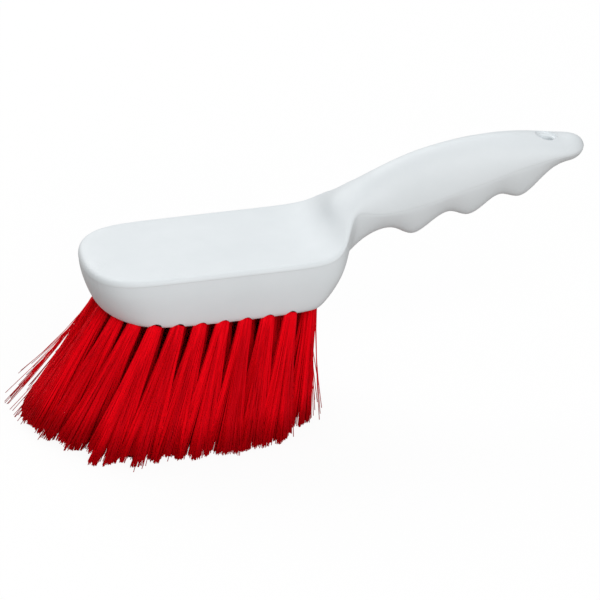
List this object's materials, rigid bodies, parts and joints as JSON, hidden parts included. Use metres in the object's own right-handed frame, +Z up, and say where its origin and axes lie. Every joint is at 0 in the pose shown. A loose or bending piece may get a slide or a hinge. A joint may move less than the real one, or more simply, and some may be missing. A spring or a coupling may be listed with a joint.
{
  "type": "pot brush",
  "caption": "Short scrubbing brush: a thick white moulded block with a round nose and raised finger-grip handle, and splayed stiff red bristles.",
  "frame": {"origin": "middle of the brush's length and width, on the surface that the bristle ends stand on", "axes": "+X runs from the round nose to the tip of the handle, +Y across the head, +Z up from the bristle ends to the head's top"},
  "size_m": [0.284, 0.1174, 0.1295],
  "materials": {
    "white_plastic": "satin moulded polypropylene",
    "red_filament": "extruded polyester filament"
  },
  "bodies": {
    "root": {"block": "white_plastic", "tuft_1_01": "red_filament", "tuft_1_02": "red_filament", "tuft_1_03": "red_filament", "tuft_1_04": "red_filament", "tuft_1_05": "red_filament", "tuft_1_06": "red_filament", "tuft_1_07": "red_filament", "tuft_1_08": "red_filament", "tuft_1_09": "red_filament", "tuft_1_10": "red_filament", "tuft_1_11": "red_filament", "tuft_1_12": "red_filament", "tuft_1_13": "red_filament", "tuft_1_14": "red_filament", "tuft_1_15": "red_filament", "tuft_1_16": "red_filament", "tuft_1_17": "red_filament", "tuft_1_18": "red_filament", "tuft_1_19": "red_filament", "tuft_1_20": "red_filament", "tuft_1_21": "red_filament", "tuft_1_22": "red_filament", "tuft_1_23": "red_filament", "tuft_1_24": "red_filament", "tuft_2_01": "red_filament", "tuft_2_02": "red_filament", "tuft_2_03": "red_filament", "tuft_2_04": "red_filament", "tuft_2_05": "red_filament", "tuft_2_06": "red_filament", "tuft_2_07": "red_filament", "tuft_2_08": "red_filament", "tuft_2_09": "red_filament", "tuft_2_10": "red_filament", "tuft_2_11": "red_filament", "tuft_2_12": "red_filament", "tuft_2_13": "red_filament", "tuft_2_14": "red_filament", "tuft_2_15": "red_filament", "tuft_2_16": "red_filament", "tuft_2_17": "red_filament", "tuft_2_18": "red_filament", "tuft_3_01": "red_filament", "tuft_3_02": "red_filament", "tuft_3_03": "red_filament", "tuft_3_04": "red_filament", "tuft_3_05": "red_filament", "tuft_3_06": "red_filament", "tuft_3_07": "red_filament", "tuft_3_08": "red_filament", "tuft_3_09": "red_filament", "tuft_3_10": "red_filament", "tuft_3_11": "red_filament", "tuft_3_12": "red_filament"}
  },
  "joints": []
}
